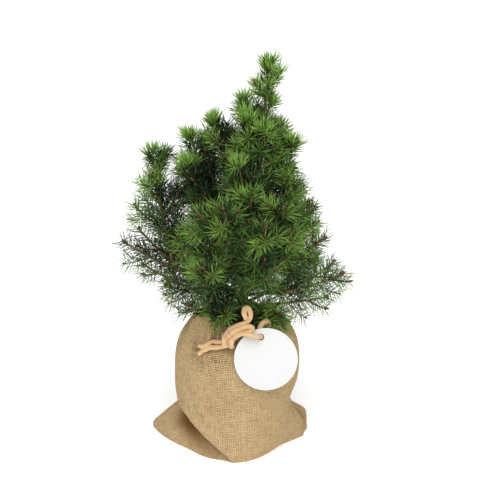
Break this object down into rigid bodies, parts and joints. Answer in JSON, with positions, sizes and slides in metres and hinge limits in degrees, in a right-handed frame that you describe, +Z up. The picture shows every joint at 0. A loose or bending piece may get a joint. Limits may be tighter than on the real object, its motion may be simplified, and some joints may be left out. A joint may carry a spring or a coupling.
{
  "type": "spruce sapling with root ball",
  "caption": "Dwarf spruce sapling with an uneven pointed crown. Its root ball stands in a burlap sack, tied with a suede lace that holds a blank round card tag.",
  "frame": {"origin": "middle of the sack's flat underside", "axes": "+Z up along the tree, -Y to the side with the knot and the tag, +X to the right as that side is looked at"},
  "size_m": [0.2329, 0.1905, 0.3945],
  "materials": {
    "burlap": "loose jute weave",
    "soil": "damp crumbs",
    "suede": "napped",
    "card": "matt",
    "bark": "rough",
    "twig_bark": "rough",
    "needles": "satin"
  },
  "bodies": {
    "root": {"back_left_low_bough": "twig_bark", "back_left_low_mass": "needles", "back_left_mid_bough": "twig_bark", "back_left_mid_mass": "needles", "back_left_upper_mass": "needles", "back_low_bough": "twig_bark", "back_low_mass": "needles", "back_mid_bough": "twig_bark", "back_mid_mass": "needles", "back_right_low_bough": "twig_bark", "back_right_low_mass": "needles", "back_right_mid_bough": "twig_bark", "back_right_mid_mass": "needles", "back_right_upper_mass": "needles", "back_upper_mass": "needles", "burlap_sack": "burlap", "front_foot_mass": "needles", "front_left_bough": "twig_bark", "front_left_mass": "needles", "front_left_upper_bough": "twig_bark", "front_left_upper_mass": "needles", "front_mid_left_bough": "twig_bark", "front_mid_left_mass": "needles", "front_mid_right_bough": "twig_bark", "front_mid_right_mass": "needles", "front_right_bough": "twig_bark", "front_right_foot_mass": "needles", "front_right_mass": "needles", "front_right_upper_mass": "needles", "front_tuft_mass": "needles", "front_upper_mass": "needles", "lace": "suede", "leader_mass": "needles", "left_crown_mass": "needles", "left_far_bough": "twig_bark", "left_far_mass": "needles", "left_foot_mass": "needles", "left_high_bough": "twig_bark", "left_high_mass": "needles", "left_low_bough": "twig_bark", "left_low_mass": "needles", "left_mid_bough": "twig_bark", "left_mid_mass": "needles", "right_foot_bough": "twig_bark", "right_foot_mass": "needles", "right_low_bough": "twig_bark", "right_low_mass": "needles", "right_mid_bough": "twig_bark", "right_mid_mass": "needles", "right_side_bough": "twig_bark", "right_side_mass": "needles", "right_upper_mass": "needles", "shoulder_right_mass": "needles", "soil": "soil", "tag": "card", "trunk": "bark", "upper_front_left_mass": "needles", "upper_front_mass": "needles", "upper_left_mass": "needles", "upper_right_mass": "needles"}
  },
  "joints": []
}
